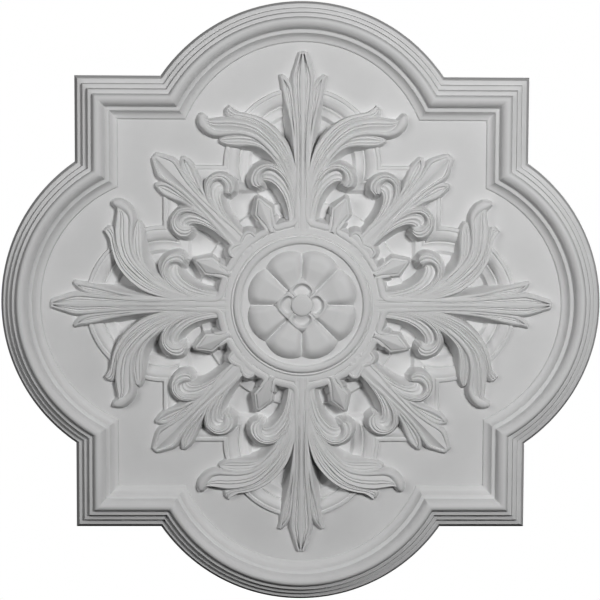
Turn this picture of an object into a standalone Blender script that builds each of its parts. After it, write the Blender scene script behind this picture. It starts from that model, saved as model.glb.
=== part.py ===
"""Ceiling rose: a quatrefoil laid over a square, cast in one piece with leaf sprays and a petalled hub.

The rose is modelled face up, with its back on z = 0, and then turned over, so that it hangs below a
ceiling: its back faces +Z and the middle of its back is the origin. All lengths are in metres.
"""
import math

import bmesh
import bpy
from mathutils import Vector

# Outer edge of the rose: a square with one round lobe on the middle of each side
EDGE_HALF = 0.2975
EDGE_LOBE_CENTRE = 0.170
EDGE_LOBE_RADIUS = 0.225

# The border moulding runs inward from that edge to the flat field, and is narrower round the lobes
BORDER_WIDTH = 0.056
LOBE_BORDER_WIDTH = 0.053
LOBE_CENTRE_SHIFT = 0.006
FIELD_HALF = EDGE_HALF - BORDER_WIDTH
FIELD_LOBE_CENTRE = EDGE_LOBE_CENTRE + LOBE_CENTRE_SHIFT
FIELD_LOBE_REACH = EDGE_LOBE_CENTRE + EDGE_LOBE_RADIUS - LOBE_BORDER_WIDTH
FIELD_LOBE_RADIUS = FIELD_LOBE_REACH - FIELD_LOBE_CENTRE

# The strap, a small border round the sunk panel, stands inside the flat field
FIELD_WIDTH = 0.060
STRAP_WIDTH = 0.0335
STRAP_HALF = FIELD_HALF - FIELD_WIDTH
STRAP_LOBE_SET_IN = 0.0015
STRAP_LOBE_CENTRE = STRAP_HALF - STRAP_LOBE_SET_IN
STRAP_LOBE_RADIUS = 0.103

# Heights above the back
RIM_HEIGHT = 0.010
CREST_HEIGHT = 0.034
FIELD_HEIGHT = 0.013
STRAP_RISE = 0.0045
STRAP_HEIGHT = FIELD_HEIGHT + STRAP_RISE
PANEL_HEIGHT = 0.006
PLINTH_RISE = 0.003
PLINTH_HEIGHT = PANEL_HEIGHT + PLINTH_RISE
HUB_HEIGHT = 0.030
BEAD_RISE = 0.0015
RING_RISE = 0.0045
RING_HEIGHT = HUB_HEIGHT + RING_RISE
# The carving's solids start this far above the back, inside the casting
ROOT_HEIGHT = 0.003

# Radii of the turned hub, from its edge inward
HUB_RADIUS = 0.111
PLINTH_RADIUS = HUB_RADIUS + 0.023
RING_RADIUS = HUB_RADIUS - 0.022
BEAD_WIDTH = 0.004
RING_WIDTH = 0.0095
RING_INNER_RADIUS = RING_RADIUS - RING_WIDTH
RING_ROUNDING = 0.003
RING_STEP = 0.0008

# The rosette in the hub's dish: petals, a square plate, four small lobes and a button
PETALS = 8
PETAL_MARGIN = 0.0065
PETAL_RADIUS = RING_INNER_RADIUS - PETAL_MARGIN
PETAL_END_RADIUS = 0.0353
PETAL_START = 0.020
PETAL_GAP = 0.0003
PETAL_RISE = 0.0085
CALYX_RADIUS = 0.036
CALYX_RISE = 0.0068
CALYX_HEIGHT = HUB_HEIGHT + CALYX_RISE
CALYX_SLOPE_WIDTH = 0.003
LOBE_RADIUS = 0.0135
LOBE_CENTRE = 0.0155
LOBE_RISE = 0.0032
BUTTON_RADIUS = 0.014
BUTTON_HEIGHT = CALYX_HEIGHT + 0.0037
BUTTON_ROUNDING = 0.0015

# Leaf sprays: the radius where their stems leave the hub, the radius of their tips, and their heights
STEM_ROOT = HUB_RADIUS - 0.013
LONG_SPRAY_TIP = FIELD_LOBE_REACH - 0.016
SHORT_SPRAY_TIP = 0.274
LEAF_HEIGHT = HUB_HEIGHT
LEAF_TIP_HEIGHT = FIELD_HEIGHT + 0.011
# How far the edge of a lobe lies below its ridge for each metre of half width
RIDGE_SLOPE = 0.28

# Darts between the sprays
DARTS = 8
DART_ROOT = HUB_RADIUS - 0.008
DART_TIP = HUB_RADIUS + 0.043
DART_SHOULDER = HUB_RADIUS + 0.020
DART_HALF_WIDTH = 0.0145
DART_ROOT_HALF_WIDTH = 0.0085
DART_HEIGHT = HUB_HEIGHT - 0.0045
DART_RIM_WIDTH = 0.0025
DART_RIM_DROP = 0.0008
DART_CROWN_RISE = 0.0035
# A wall that moves out by one moves the sharp point out by more
DART_POINT_STRETCH = 1.3

# How far a cast wall leans out for each metre that it goes down, so that it leaves its mould
WALL_DRAFT = 0.38
CURL_DRAFT = 0.16

ARC_SEGMENTS = 10
TURN_STEPS = 32
BUTTON_STEPS = 16

# The border's profile: share of the way from the outer edge to the field, and a height given as
# (share of the crest's height over the rim, or of the crest's height over the field)
BORDER_STEPS = (
    (0.055, 0.00), (0.160, 0.03), (0.185, 0.30), (0.280, 0.33), (0.330, 0.63),
    (0.420, 0.66), (0.480, 0.96), (0.560, 1.00),
)
BORDER_FALL = (
    (0.630, 0.92), (0.690, 0.72), (0.730, 0.47), (0.820, 0.47), (0.870, 0.18),
)
# The strap's profile: share of its width, and share of its height over the panel
STRAP_STEPS = (
    (0.03, 1.00), (0.155, 1.00), (0.195, 0.84), (0.49, 0.66), (0.60, 0.32), (0.93, 0.20),
    (1.00, 0.00),
)

# Lobes of the long spray, on its right side: knots of (share across, share along, half width, rise).
# The first three are shares of the spray's own length, and the rise goes from 0 at the height of the
# tips to 1 at the height of the stem.
SPEAR = (
    (0, 0.00, 0.033, 1.00), (0, 0.23, 0.029, 0.95), (0, 0.49, 0.033, 0.70), (0, 0.67, 0.042, 0.45),
    (0, 0.81, 0.064, 0.35), (0, 0.895, 0.048, 0.30), (0, 1.00, 0.008, 0.15),
)
EAR = (
    (0.022, 0.338, 0.011, 0.65), (0.053, 0.535, 0.022, 0.45), (0.083, 0.728, 0.029, 0.30),
    (0.101, 0.820, 0.028, 0.25), (0.125, 0.873, 0.006, 0.15),
)
UPPER_FINGER = (
    (0.022, 0.228, 0.013, 0.85), (0.066, 0.395, 0.026, 0.80), (0.127, 0.522, 0.038, 0.70),
    (0.240, 0.628, 0.036, 0.55), (0.400, 0.664, 0.021, 0.30),
    (0.439, 0.693, 0.006, 0.20),
)
MIDDLE_FINGER = (
    (0.022, 0.140, 0.013, 0.85), (0.070, 0.281, 0.028, 0.85), (0.132, 0.425, 0.039, 0.80),
    (0.211, 0.535, 0.046, 0.75), (0.340, 0.595, 0.046, 0.60), (0.530, 0.597, 0.037, 0.25),
    (0.588, 0.640, 0.016, 0.15),
)
LOWER_FINGER = (
    (0.022, 0.075, 0.013, 0.80), (0.070, 0.219, 0.024, 0.75), (0.127, 0.360, 0.030, 0.60),
    (0.225, 0.475, 0.034, 0.45), (0.385, 0.508, 0.029, 0.30),
    (0.478, 0.509, 0.006, 0.15),
)
LONG_CURL = (
    (0.022, 0.009, 0.013, 0.80), (0.048, 0.140, 0.028, 0.75), (0.088, 0.250, 0.042, 0.60),
    (0.158, 0.314, 0.048, 0.50), (0.228, 0.316, 0.044, 0.40), (0.263, 0.276, 0.030, 0.30),
    (0.254, 0.241, 0.016, 0.15),
)

# Lobes of the short spray, given the same way
BUD = (
    (0, 0.00, 0.051, 1.00), (0, 0.30, 0.048, 0.90), (0, 0.58, 0.048, 0.65), (0, 0.74, 0.063, 0.50),
    (0, 0.85, 0.097, 0.40), (0, 0.92, 0.063, 0.30), (0, 1.00, 0.023, 0.15),
)
SHORT_EAR = (
    (0.023, 0.381, 0.017, 0.65), (0.062, 0.580, 0.037, 0.50), (0.100, 0.720, 0.048, 0.35),
    (0.119, 0.795, 0.040, 0.25), (0.139, 0.841, 0.011, 0.15),
)
SHORT_CURL = (
    (0.034, 0.00, 0.028, 0.85), (0.058, 0.19, 0.046, 0.80), (0.091, 0.375, 0.062, 0.70),
    (0.165, 0.495, 0.071, 0.55), (0.244, 0.510, 0.062, 0.40), (0.278, 0.440, 0.045, 0.30),
    (0.244, 0.386, 0.023, 0.15),
)
TIE = (
    (0.017, 0.074, 0.017, 0.80), (0.057, 0.099, 0.023, 0.70), (0.102, 0.097, 0.026, 0.60),
    (0.119, 0.057, 0.017, 0.50),
)


def clear_scene():
    """Remove every object that the new file starts with."""
    for obj in list(bpy.data.objects):
        bpy.data.objects.remove(obj, do_unlink=True)


def new_collection(name):
    collection = bpy.data.collections.new(name)
    bpy.context.scene.collection.children.link(collection)
    return collection


def primed_polyurethane():
    """Rigid polyurethane foam with its factory coat of white primer."""
    material = bpy.data.materials.new("primed polyurethane")
    material.use_nodes = True
    shader = material.node_tree.nodes["Principled BSDF"]
    shader.inputs["Base Color"].default_value = (0.72, 0.72, 0.71, 1.0)
    shader.inputs["Roughness"].default_value = 0.72
    shader.inputs["Metallic"].default_value = 0.0
    return material


def quatrefoil(half, centre, radius, height):
    """One closed loop of points: a square with a round lobe on each side, at one height."""
    reach = math.acos((half - centre) / radius)
    quarter = []
    for step in range(ARC_SEGMENTS + 1):
        angle = reach * (2.0 * step / ARC_SEGMENTS - 1.0)
        quarter.append((radius * math.sin(angle), centre + radius * math.cos(angle)))
    quarter.append((half, half))
    loop = []
    for side in range(4):
        turn = -math.radians(90.0 * side)
        for x, y in quarter:
            across = x * math.cos(turn) - y * math.sin(turn)
            along = x * math.sin(turn) + y * math.cos(turn)
            loop.append(Vector((across, along, height)))
    return loop


def border_loop(share, height):
    """The border's loop at a share of the way from the outer edge to the field."""
    half = EDGE_HALF + share * (FIELD_HALF - EDGE_HALF)
    centre = EDGE_LOBE_CENTRE + share * (FIELD_LOBE_CENTRE - EDGE_LOBE_CENTRE)
    radius = EDGE_LOBE_RADIUS + share * (FIELD_LOBE_RADIUS - EDGE_LOBE_RADIUS)
    return quatrefoil(half, centre, radius, height)


def strap_loop(share, height):
    """The strap's loop, set in from its outer edge by a share of its width."""
    inset = share * STRAP_WIDTH
    return quatrefoil(STRAP_HALF - inset, STRAP_LOBE_CENTRE, STRAP_LOBE_RADIUS - inset, height)


def loft(name, loops):
    """A closed solid through loops of equally many points, with a flat face on its first and last."""
    bm = bmesh.new()
    rings = [[bm.verts.new(point) for point in loop] for loop in loops]
    for low, high in zip(rings, rings[1:]):
        for index in range(len(low)):
            after = (index + 1) % len(low)
            bm.faces.new((low[index], low[after], high[after], high[index]))
    bm.faces.new(rings[0])
    bm.faces.new(rings[-1])
    bmesh.ops.recalc_face_normals(bm, faces=bm.faces)
    mesh = bpy.data.meshes.new(name)
    bm.to_mesh(mesh)
    bm.free()
    return mesh


def casting_mesh():
    """Back, border, field, strap and sunk panel in one surface."""
    loops = [border_loop(0.0, 0.0)]
    for share, rise in BORDER_STEPS:
        loops.append(border_loop(share, RIM_HEIGHT + rise * (CREST_HEIGHT - RIM_HEIGHT)))
    for share, rise in BORDER_FALL:
        loops.append(border_loop(share, FIELD_HEIGHT + rise * (CREST_HEIGHT - FIELD_HEIGHT)))
    loops.append(border_loop(1.0, FIELD_HEIGHT))
    loops.append(strap_loop(0.0, FIELD_HEIGHT))
    for share, rise in STRAP_STEPS:
        loops.append(strap_loop(share, PANEL_HEIGHT + rise * (STRAP_HEIGHT - PANEL_HEIGHT)))
    return loft("casting", loops)


def lobe_mesh(name, knots, length, mirror, draft):
    """One ridged leaf lobe: a strip that follows its knots, with leaning walls down into the casting."""
    spine = [Vector((mirror * across * length, STEM_ROOT + along * length))
             for across, along, _, _ in knots]
    sections = []
    for index, (_, _, width_share, rise) in enumerate(knots):
        ahead = spine[min(index + 1, len(spine) - 1)] - spine[max(index - 1, 0)]
        side = Vector((ahead.y, -ahead.x)).normalized()
        half_width = width_share * length
        ridge = LEAF_TIP_HEIGHT + rise * (LEAF_HEIGHT - LEAF_TIP_HEIGHT)
        edge = ridge - RIDGE_SLOPE * half_width
        foot = half_width + draft * (edge - ROOT_HEIGHT)
        profile = ((-foot, ROOT_HEIGHT), (-half_width, edge), (0.0, ridge), (half_width, edge),
                   (foot, ROOT_HEIGHT))
        sections.append([Vector((*(spine[index] + side * offset), height)) for offset, height in profile])
    return loft(name, sections)


def dart_mesh():
    """A pointed, faceted dart on the Y axis: a five-sided plan with a ridge down its middle."""
    def plan(spread, height):
        return [Vector(point) for point in (
            (-DART_ROOT_HALF_WIDTH - spread, DART_ROOT - spread, height),
            (-DART_HALF_WIDTH - spread, DART_SHOULDER, height),
            (0.0, DART_TIP + DART_POINT_STRETCH * spread, height),
            (DART_HALF_WIDTH + spread, DART_SHOULDER, height),
            (DART_ROOT_HALF_WIDTH + spread, DART_ROOT - spread, height),
        )]

    mesh = loft("dart", [
        plan(WALL_DRAFT * (DART_HEIGHT - ROOT_HEIGHT), ROOT_HEIGHT),
        plan(0.0, DART_HEIGHT),
        plan(-DART_RIM_WIDTH, DART_HEIGHT - DART_RIM_DROP),
    ])
    bm = bmesh.new()
    bm.from_mesh(mesh)
    top = max(bm.faces, key=lambda face: face.calc_center_median().z)
    crown = bmesh.ops.poke(bm, faces=[top])["verts"][0]
    crown.co = Vector((0.0, DART_SHOULDER, DART_HEIGHT + DART_CROWN_RISE))
    bm.to_mesh(mesh)
    bm.free()
    return mesh


# A petal's section: shares of its half width and of its rise over the dish, None for its root
PETAL_SECTION = (
    (-1.0, None), (-1.0, 0.45), (-0.76, 0.86), (0.0, 1.0), (0.76, 0.86), (1.0, 0.45), (1.0, None),
)
# The rise along a petal: at shares of its straight sides, and at shares of the turn of its round end
PETAL_SIDE_RISES = ((0.0, 0.35), (0.38, 0.72), (0.72, 1.0))
PETAL_END_RISES = ((1.0, 0.95), (0.62, 0.70), (0.22, 0.30))


def petal_mesh():
    """One domed petal on the Y axis: a wedge between its neighbours with a round outer end."""
    half_angle = math.pi / PETALS
    end_centre = PETAL_RADIUS - PETAL_END_RADIUS
    shoulder = half_angle + math.asin(end_centre * math.sin(half_angle) / PETAL_END_RADIUS)
    side_length = end_centre + PETAL_END_RADIUS * math.cos(shoulder) - PETAL_START
    stations = []
    for share, rise in PETAL_SIDE_RISES:
        along = PETAL_START + share * side_length
        stations.append((along, along * math.tan(half_angle), rise))
    for share, rise in PETAL_END_RISES:
        turn = share * shoulder
        stations.append((end_centre + PETAL_END_RADIUS * math.cos(turn),
                         PETAL_END_RADIUS * math.sin(turn), rise))
    sections = []
    for along, half_width, rise in stations:
        section = []
        for across, up in PETAL_SECTION:
            height = HUB_HEIGHT + up * rise * PETAL_RISE if up is not None else ROOT_HEIGHT
            section.append(Vector((across * (half_width - PETAL_GAP), along, height)))
        sections.append(section)
    return loft("petal", sections)


def turned_mesh(name, profile, steps):
    """A turned solid: a profile at +X, run from the top down, with a Screw modifier, made a mesh."""
    bm = bmesh.new()
    points = [bm.verts.new((radius, 0.0, height)) for radius, height in profile]
    for upper, lower in zip(points, points[1:]):
        bm.edges.new((upper, lower))
    mesh = bpy.data.meshes.new(name)
    bm.to_mesh(mesh)
    bm.free()
    turned = bpy.data.objects.new(name, mesh)
    bpy.context.scene.collection.objects.link(turned)
    screw = turned.modifiers.new("turn", "SCREW")
    screw.steps = steps
    screw.render_steps = steps
    screw.use_merge_vertices = True
    screw.merge_threshold = 0.00005
    graph = bpy.context.evaluated_depsgraph_get()
    result = bpy.data.meshes.new_from_object(turned.evaluated_get(graph))
    bpy.data.objects.remove(turned, do_unlink=True)
    return result


def hub_mesh():
    """The round hub: its low plinth, flat annulus, bead, raised ring and the dish for the rosette."""
    return turned_mesh("hub", (
        (0.0, HUB_HEIGHT),
        (RING_INNER_RADIUS - RING_STEP, HUB_HEIGHT),
        (RING_INNER_RADIUS + RING_STEP, RING_HEIGHT - RING_STEP),
        (RING_RADIUS - RING_ROUNDING, RING_HEIGHT),
        (RING_RADIUS, HUB_HEIGHT + BEAD_RISE),
        (RING_RADIUS + BEAD_WIDTH - RING_STEP, HUB_HEIGHT + BEAD_RISE),
        (RING_RADIUS + BEAD_WIDTH, HUB_HEIGHT),
        (HUB_RADIUS - 2.0 * RING_ROUNDING, HUB_HEIGHT),
        (HUB_RADIUS, PLINTH_HEIGHT),
        (PLINTH_RADIUS - RING_STEP, PLINTH_HEIGHT),
        (PLINTH_RADIUS, ROOT_HEIGHT),
        (0.0, ROOT_HEIGHT),
    ), TURN_STEPS)


def calyx_mesh():
    """The four-sided plate under the rosette's middle, with its corners on the axes."""
    bm = bmesh.new()
    bmesh.ops.create_cone(bm, cap_ends=True, segments=4, radius1=CALYX_RADIUS,
                          radius2=CALYX_RADIUS - CALYX_SLOPE_WIDTH, depth=CALYX_HEIGHT - ROOT_HEIGHT)
    bmesh.ops.translate(bm, verts=bm.verts, vec=(0, 0, 0.5 * (CALYX_HEIGHT + ROOT_HEIGHT)))
    mesh = bpy.data.meshes.new("calyx")
    bm.to_mesh(mesh)
    bm.free()
    return mesh


def small_lobe_mesh():
    """One of the four round lobes of the rosette's middle: the top of a flattened ball."""
    bm = bmesh.new()
    bmesh.ops.create_uvsphere(bm, u_segments=8, v_segments=5, radius=LOBE_RADIUS)
    bmesh.ops.scale(bm, verts=bm.verts, vec=(1.0, 1.0, 2.0 * LOBE_RISE / LOBE_RADIUS))
    bmesh.ops.translate(bm, verts=bm.verts, vec=(0.0, LOBE_CENTRE, CALYX_HEIGHT - LOBE_RISE))
    mesh = bpy.data.meshes.new("small lobe")
    bm.to_mesh(mesh)
    bm.free()
    return mesh


def button_mesh():
    """The flat round button in the middle of the rosette."""
    return turned_mesh("button", (
        (0.0, BUTTON_HEIGHT),
        (BUTTON_RADIUS - BUTTON_ROUNDING, BUTTON_HEIGHT),
        (BUTTON_RADIUS, BUTTON_HEIGHT - BUTTON_ROUNDING),
        (BUTTON_RADIUS, ROOT_HEIGHT),
        (0.0, ROOT_HEIGHT),
    ), BUTTON_STEPS)


def add_carving(collection, holder, name, mesh, copies, first_angle):
    """Place equal copies of one carved form round the middle; each is joined to the casting."""
    for index in range(copies):
        form = bpy.data.objects.new(f"{name}_{index + 1}", mesh)
        form.rotation_euler = (0.0, 0.0, math.radians(first_angle + 360.0 * index / copies))
        form.parent = holder
        form.hide_render = True
        form.display_type = "WIRE"
        collection.objects.link(form)


def add_spray(collection, holder, name, middle, sides, tip, first_angle):
    """Four copies of one leaf spray: its middle blade, and its side lobes on both hands."""
    length = tip - STEM_ROOT
    mesh = lobe_mesh(f"{name} middle", middle, length, 1, WALL_DRAFT)
    add_carving(collection, holder, f"{name}_middle", mesh, 4, first_angle)
    for label, knots, draft in sides:
        for hand, mirror in (("right", 1), ("left", -1)):
            mesh = lobe_mesh(f"{name} {label} {hand}", knots, length, mirror, draft)
            add_carving(collection, holder, f"{name}_{label}_{hand}", mesh, 4, first_angle)


def build():
    clear_scene()
    part = new_collection("Ceiling rose")
    carving = new_collection("Carving joined to the casting")

    holder = bpy.data.objects.new("turned to hang below the ceiling", None)
    holder.rotation_euler = (math.pi, 0.0, 0.0)
    part.objects.link(holder)

    add_carving(carving, holder, "hub", hub_mesh(), 1, 0.0)
    add_carving(carving, holder, "petal", petal_mesh(), PETALS, 180.0 / PETALS)
    add_carving(carving, holder, "calyx", calyx_mesh(), 1, 0.0)
    add_carving(carving, holder, "small_lobe", small_lobe_mesh(), 4, 0.0)
    add_carving(carving, holder, "button", button_mesh(), 1, 0.0)
    add_carving(carving, holder, "dart", dart_mesh(), DARTS, 180.0 / DARTS)
    add_spray(carving, holder, "long_spray", SPEAR, (
        ("ear", EAR, WALL_DRAFT),
        ("upper_finger", UPPER_FINGER, WALL_DRAFT),
        ("middle_finger", MIDDLE_FINGER, WALL_DRAFT),
        ("lower_finger", LOWER_FINGER, WALL_DRAFT),
        ("curl", LONG_CURL, CURL_DRAFT),
    ), LONG_SPRAY_TIP, 0.0)
    add_spray(carving, holder, "short_spray", BUD, (
        ("ear", SHORT_EAR, WALL_DRAFT),
        ("curl", SHORT_CURL, CURL_DRAFT),
        ("tie", TIE, CURL_DRAFT),
    ), SHORT_SPRAY_TIP, 45.0)

    rose = bpy.data.objects.new("ceiling_rose", casting_mesh())
    rose.parent = holder
    rose.data.materials.append(primed_polyurethane())
    part.objects.link(rose)
    join = rose.modifiers.new("carving in one casting", "BOOLEAN")
    join.operation = "UNION"
    join.solver = "EXACT"
    join.operand_type = "COLLECTION"
    join.collection = carving


build()
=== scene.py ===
"""Looks of the ceiling rose: one casting, drawn in millimetres as seen from the room, then turned over."""
import math

import bmesh
import bpy
import numpy as np
from mathutils import Matrix, Vector


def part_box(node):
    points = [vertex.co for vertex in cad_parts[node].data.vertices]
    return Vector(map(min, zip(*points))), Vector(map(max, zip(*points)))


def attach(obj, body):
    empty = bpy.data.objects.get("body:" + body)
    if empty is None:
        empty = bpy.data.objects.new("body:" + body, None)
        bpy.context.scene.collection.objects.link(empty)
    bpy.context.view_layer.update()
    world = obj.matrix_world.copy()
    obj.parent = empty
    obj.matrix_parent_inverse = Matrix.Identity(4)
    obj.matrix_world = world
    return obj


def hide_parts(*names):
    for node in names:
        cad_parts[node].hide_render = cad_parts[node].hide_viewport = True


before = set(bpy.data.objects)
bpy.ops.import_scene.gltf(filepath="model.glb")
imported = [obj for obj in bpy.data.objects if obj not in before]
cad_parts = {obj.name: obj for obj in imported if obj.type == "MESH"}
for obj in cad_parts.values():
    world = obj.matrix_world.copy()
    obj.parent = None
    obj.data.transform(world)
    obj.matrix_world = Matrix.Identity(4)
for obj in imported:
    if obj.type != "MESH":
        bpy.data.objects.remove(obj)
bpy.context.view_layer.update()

casting_low, casting_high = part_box("ceiling_rose")


# Primed polyurethane
# Rigid foam poured in a silicone mould has a closed, slightly grainy skin, and the factory's sprayed
# white primer leaves it matt, with a faint orange peel and soft, pale edges.
PRIMER_COLOUR = "#EAEAEA"
PRIMER_SHADE = "#E0E0E0"
# Real sizes: the spray's orange peel, the foam skin's grain, and the drift of tone over the casting
PEEL_MM = 1.6
PEEL_DEPTH_MM = 0.4
GRAIN_MM = 0.5
GRAIN_DEPTH_MM = 0.2
CLOUD_MM = 55.0


def linear(hex_colour):
    """An sRGB hex colour as the linear colour that a shader takes."""
    values = [int(hex_colour[place:place + 2], 16) / 255 for place in (1, 3, 5)]
    return tuple(v / 12.92 if v <= 0.04045 else ((v + 0.055) / 1.055) ** 2.4 for v in values) + (1.0,)


def node(tree, kind, settings=None, **links):
    """Add a node to a material, set its properties and values, and link sockets into it."""
    made = tree.nodes.new(kind)
    for name, value in (settings or {}).items():
        if name in made.inputs:
            made.inputs[name].default_value = value
        else:
            setattr(made, name, value)
    for name, source in links.items():
        tree.links.new(source, made.inputs[name.replace("_", " ")])
    return made


def primed_polyurethane():
    """The one material: a matt off-white coat with a faint drift of tone and two sizes of fine relief."""
    material = bpy.data.materials.new("primed_polyurethane")
    material.use_nodes = True
    tree = material.node_tree
    place = node(tree, "ShaderNodeTexCoord").outputs["Object"]
    clouds = node(tree, "ShaderNodeTexNoise", {"Scale": 1000 / CLOUD_MM, "Detail": 3.0}, Vector=place)
    tint = node(tree, "ShaderNodeMix", {"data_type": "RGBA"}, Factor=clouds.outputs["Fac"])
    for socket, colour in ((tint.inputs[6], PRIMER_COLOUR), (tint.inputs[7], PRIMER_SHADE)):
        socket.default_value = linear(colour)
    peel = node(tree, "ShaderNodeTexNoise", {"Scale": 1000 / PEEL_MM, "Detail": 2.0}, Vector=place)
    grain = node(tree, "ShaderNodeTexNoise", {"Scale": 1000 / GRAIN_MM, "Detail": 1.0}, Vector=place)
    coarse = node(tree, "ShaderNodeBump", {"Strength": 0.10, "Distance": PEEL_DEPTH_MM / 1000},
                  Height=peel.outputs["Fac"])
    fine = node(tree, "ShaderNodeBump", {"Strength": 0.08, "Distance": GRAIN_DEPTH_MM / 1000},
                Height=grain.outputs["Fac"], Normal=coarse.outputs["Normal"])
    shader = tree.nodes["Principled BSDF"]
    shader.inputs["Roughness"].default_value = 0.62
    shader.inputs["IOR"].default_value = 1.46
    shader.inputs["Specular IOR Level"].default_value = 0.35
    tree.links.new(tint.outputs[2], shader.inputs["Base Color"])
    tree.links.new(fine.outputs["Normal"], shader.inputs["Normal"])
    return material


primer = primed_polyurethane()


# Border moulding and back
# The border is run as three stepped fillets, a rounded crest, an ovolo and a cove, mitred at the
# square's corners; behind it the casting is closed by its flat back.
QUARTERS = 4
HALF_SPAN = casting_high.x * 1000
DEPTH = -casting_low.z * 1000
SQUARE_HALF = 297.5
LOBE_CENTRE = 170.0
BORDER_WIDTH = 57.5
LOBE_NARROWING = 3.2
LOBE_NARROWING_OVER = 32.0
FIELD_LOBE_CENTRE = 176.0
FIELD_HEIGHT = 13.0
ARC_STEPS = 72
# Points on a straight run, as shares of it: close to its ends, so that the mitres shade sharply
STRAIGHT_SHARES = (0.03, 0.5, 0.97)
BORDER_ARRIS = 0.45
# The most that the round of a corner takes of each side
ARRIS_SHARE = 0.4
MERGE_MM = 0.0005
# Distance in from the outer edge, and height above the back
BORDER_PROFILE = (
    (0.0, 0.0), (0.8, 1.6), (4.8, 10.4), (10.7, 11.0), (12.4, 17.6), (17.7, 18.4), (20.0, 25.6),
    (25.2, 26.1), (26.9, 31.2), (28.8, 33.1), (30.8, 33.9), (32.8, 33.9), (35.2, 33.1), (37.4, 31.6),
    (39.4, 29.2), (41.0, 25.8), (41.6, 23.8), (43.0, 23.0), (46.6, 22.6), (47.2, 21.4), (48.0, 20.2),
    (49.2, 18.6), (51.2, 16.8), (53.6, 15.6), (56.2, 14.9), (56.9, 14.0), (57.5, 13.0), (58.5, 12.0),
    (58.5, 1.5),
)


def quatrefoil(half, centre, radius):
    """A closed loop of points: a square with one round lobe on each side, the same count at any size."""
    reach = math.acos((half - centre) / radius)
    side = [(radius * math.sin(turn), centre + radius * math.cos(turn))
            for turn in np.linspace(-reach, reach, ARC_STEPS + 1)]
    arc_end = side[-1][0]
    side += [(arc_end + share * (half - arc_end), half) for share in STRAIGHT_SHARES + (1.0,)]
    side += [(half, half - share * (half - arc_end)) for share in STRAIGHT_SHARES]
    loop = list(side)
    for _ in range(QUARTERS - 1):
        loop += [(y, -x) for x, y in loop[-len(side):]]
    return np.array(loop)


def border_loop(inset):
    """The border's outline at an inset; round the lobes the mouldings lie a little further out."""
    centre = LOBE_CENTRE + inset / BORDER_WIDTH * (FIELD_LOBE_CENTRE - LOBE_CENTRE)
    lobe_inset = inset - LOBE_NARROWING * min(1.0, inset / LOBE_NARROWING_OVER)
    return quatrefoil(SQUARE_HALF - inset, centre, HALF_SPAN - lobe_inset - centre)


def eased(profile, ease):
    """A profile with each corner cut by a short round, so that an edge catches light as cast ones do."""
    points = [Vector(point) for point in profile]
    result = [points[0]]
    for before, corner, after in zip(points, points[1:], points[2:]):
        into = before - corner
        out = after - corner
        start = corner + into.normalized() * min(ease, ARRIS_SHARE * into.length)
        end = corner + out.normalized() * min(ease, ARRIS_SHARE * out.length)
        result += [start, 0.25 * start + 0.5 * corner + 0.25 * end, end]
    result.append(points[-1])
    return result


def formed_grid(bm, places):
    """Add a grid to the mesh, move each of its points to its place, and give its points back."""
    rows, columns = places.shape[:2]
    grid = bmesh.ops.create_grid(bm, x_segments=columns - 1, y_segments=rows - 1, size=1.0)["verts"]
    for vert, place in zip(grid, places.reshape(-1, 3)):
        vert.co = place
    return grid


def close_openings(bm):
    """Fill each opening of a mesh with one flat face."""
    bmesh.ops.holes_fill(bm, edges=[edge for edge in bm.edges if edge.is_boundary], sides=0)


def ring(loop, height):
    """A closed loop in plan as points at one height, with the first point again at the end."""
    loop = np.vstack([loop, loop[:1]])
    return np.column_stack([loop, np.full(len(loop), height)])


def run_moulding(bm, rings):
    """Run a moulding through rings of points, and close it flat across its first and its last one."""
    formed_grid(bm, np.array(rings))
    bmesh.ops.remove_doubles(bm, verts=bm.verts, dist=MERGE_MM)
    close_openings(bm)


def as_mesh(bm, name):
    """The finished bmesh as a mesh with a name."""
    mesh = bpy.data.meshes.new(name)
    bm.to_mesh(mesh)
    bm.free()
    return mesh


def cast_piece(bm, name, sharp_degrees=32.0):
    """Make the finished mesh an object: outward faces, metres, and turned to hang below the ceiling."""
    bmesh.ops.recalc_face_normals(bm, faces=bm.faces)
    mesh = as_mesh(bm, name)
    mesh.transform(Matrix.Rotation(math.pi, 4, "X") @ Matrix.Scale(0.001, 4))
    mesh.shade_smooth()
    mesh.set_sharp_from_angle(angle=math.radians(sharp_degrees))
    mesh.materials.append(primer)
    piece = bpy.data.objects.new(name, mesh)
    bpy.context.scene.collection.objects.link(piece)
    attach(piece, "root")
    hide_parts("ceiling_rose")


bm = bmesh.new()
border_profile = eased(BORDER_PROFILE, BORDER_ARRIS)
run_moulding(bm, [ring(border_loop(inset), height) for inset, height in border_profile])
cast_piece(bm, "border_moulding_and_back")


# Flat field with strapwork
# Inside the border lies a plain field, and on it a strap: a small border of fillet, ovolo, bead and
# hollow that runs round a sunk panel in the shape of a smaller quatrefoil.
FIELD_OVERLAP = 1.0
FIELD_FOOT = 1.0
STRAP_HALF = 181.5
STRAP_LOBE_CENTRE = 180.0
STRAP_LOBE_RADIUS = 103.0
STRAP_PROFILE = (
    (0.0, 13.0), (1.1, 17.2), (5.0, 17.5), (5.6, 16.4), (6.6, 16.3), (8.2, 17.0), (11.0, 17.0),
    (14.5, 16.0), (17.5, 14.2), (19.6, 11.8), (20.2, 10.2), (20.8, 11.4), (22.6, 11.2), (23.2, 10.3),
    (26.0, 9.3), (29.5, 8.8), (32.2, 8.6), (33.0, 7.9), (36.8, 3.4), (38.0, 3.2),
)
STRAP_ARRIS = 0.35


def strap_loop(inset):
    """The strap's outline at an inset, the same width all the way round."""
    return quatrefoil(STRAP_HALF - inset, STRAP_LOBE_CENTRE, STRAP_LOBE_RADIUS - inset)


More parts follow.
